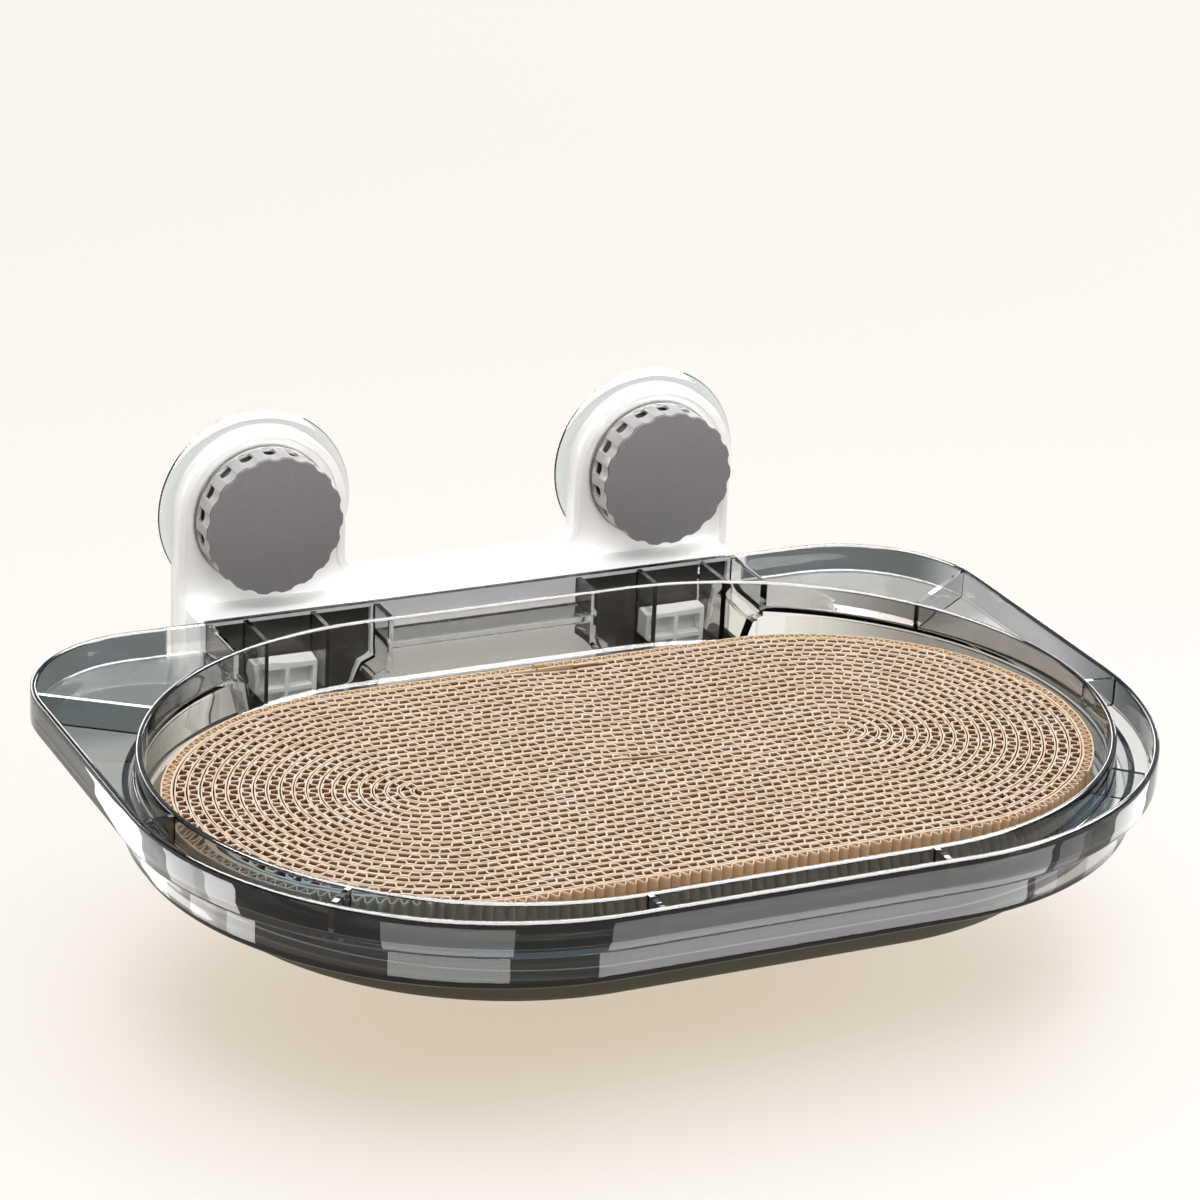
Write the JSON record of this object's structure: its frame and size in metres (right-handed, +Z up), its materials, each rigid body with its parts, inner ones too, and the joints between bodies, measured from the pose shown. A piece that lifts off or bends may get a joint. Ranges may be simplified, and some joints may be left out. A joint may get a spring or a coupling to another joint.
{
  "type": "window mounted cat perch",
  "caption": "Window-mounted cat perch: a smoked clear tray with a round-ended corrugated scratching pad, hung on a white bracket with screw-down suction cups.",
  "frame": {"origin": "on the window glass, midway between the axes of the two suction cups, level with the rim of the tray", "axes": "+X to the right along the glass as seen from the room, +Y out through the glass, +Z up"},
  "size_m": [0.46, 0.3645, 0.1512],
  "materials": {
    "smoked_plastic": "gloss",
    "white_plastic": "gloss",
    "hook_plastic": "satin",
    "dark_plastic": "satin",
    "knob_plastic": "satin",
    "knob_face_plastic": "fine texture",
    "clear_cup": "gloss",
    "zinc_steel": "satin",
    "brass": "satin",
    "washer_plastic": "satin",
    "corrugated_board": "matte",
    "kraft_band": "matte"
  },
  "bodies": {
    "bracket": {"bracket_cover": "white_plastic", "bracket_core": "dark_plastic", "bracket_screws": "zinc_steel", "hook_left": "hook_plastic", "hook_right": "hook_plastic", "hook_screws": "zinc_steel", "cup_left": "clear_cup", "cup_right": "clear_cup", "washer_left": "washer_plastic", "washer_right": "washer_plastic"},
    "knob_left_body": {"knob_left": "knob_plastic", "knob_cap_left": "knob_face_plastic", "knob_nut_left": "brass"},
    "knob_right_body": {"knob_right": "knob_plastic", "knob_cap_right": "knob_face_plastic", "knob_nut_right": "brass"},
    "stud_left_body": {"stud_left": "zinc_steel"},
    "stud_right_body": {"stud_right": "zinc_steel"},
    "tray": {"tray": "smoked_plastic"},
    "scratcher": {"scratcher_strip": "corrugated_board", "scratcher_band": "kraft_band"}
  },
  "joints": [
    {"name": "knob_left_turn", "type": "hinge", "parent": "bracket", "child": "knob_left_body", "pos_m": [-0.0976, -0.02, 0.0402], "axis": [0, -1, 0], "range_deg": [0, 540]},
    {"name": "stud_left_slide", "type": "slide", "parent": "bracket", "child": "stud_left_body", "axis": [0, 1, 0], "range_m": [0, 0.003], "deforming": ["cup_left"]},
    {"name": "knob_right_turn", "type": "hinge", "parent": "bracket", "child": "knob_right_body", "pos_m": [0.0976, -0.02, 0.0402], "axis": [0, -1, 0], "range_deg": [0, 540]},
    {"name": "stud_right_slide", "type": "slide", "parent": "bracket", "child": "stud_right_body", "axis": [0, 1, 0], "range_m": [0, 0.003], "deforming": ["cup_right"]},
    {"name": "tray_lift", "type": "slide", "parent": "bracket", "child": "tray", "axis": [0, 0, 1], "range_m": [0, 0.06]},
    {"name": "scratcher_lift", "type": "slide", "parent": "tray", "child": "scratcher", "axis": [0, 0, 1], "range_m": [0, 0.06]}
  ],
  "couplings": [
    {"joint": "stud_left_slide", "follows": "knob_left_turn", "m_per_rad": 0.0003183},
    {"joint": "stud_right_slide", "follows": "knob_right_turn", "m_per_rad": 0.0003183}
  ]
}
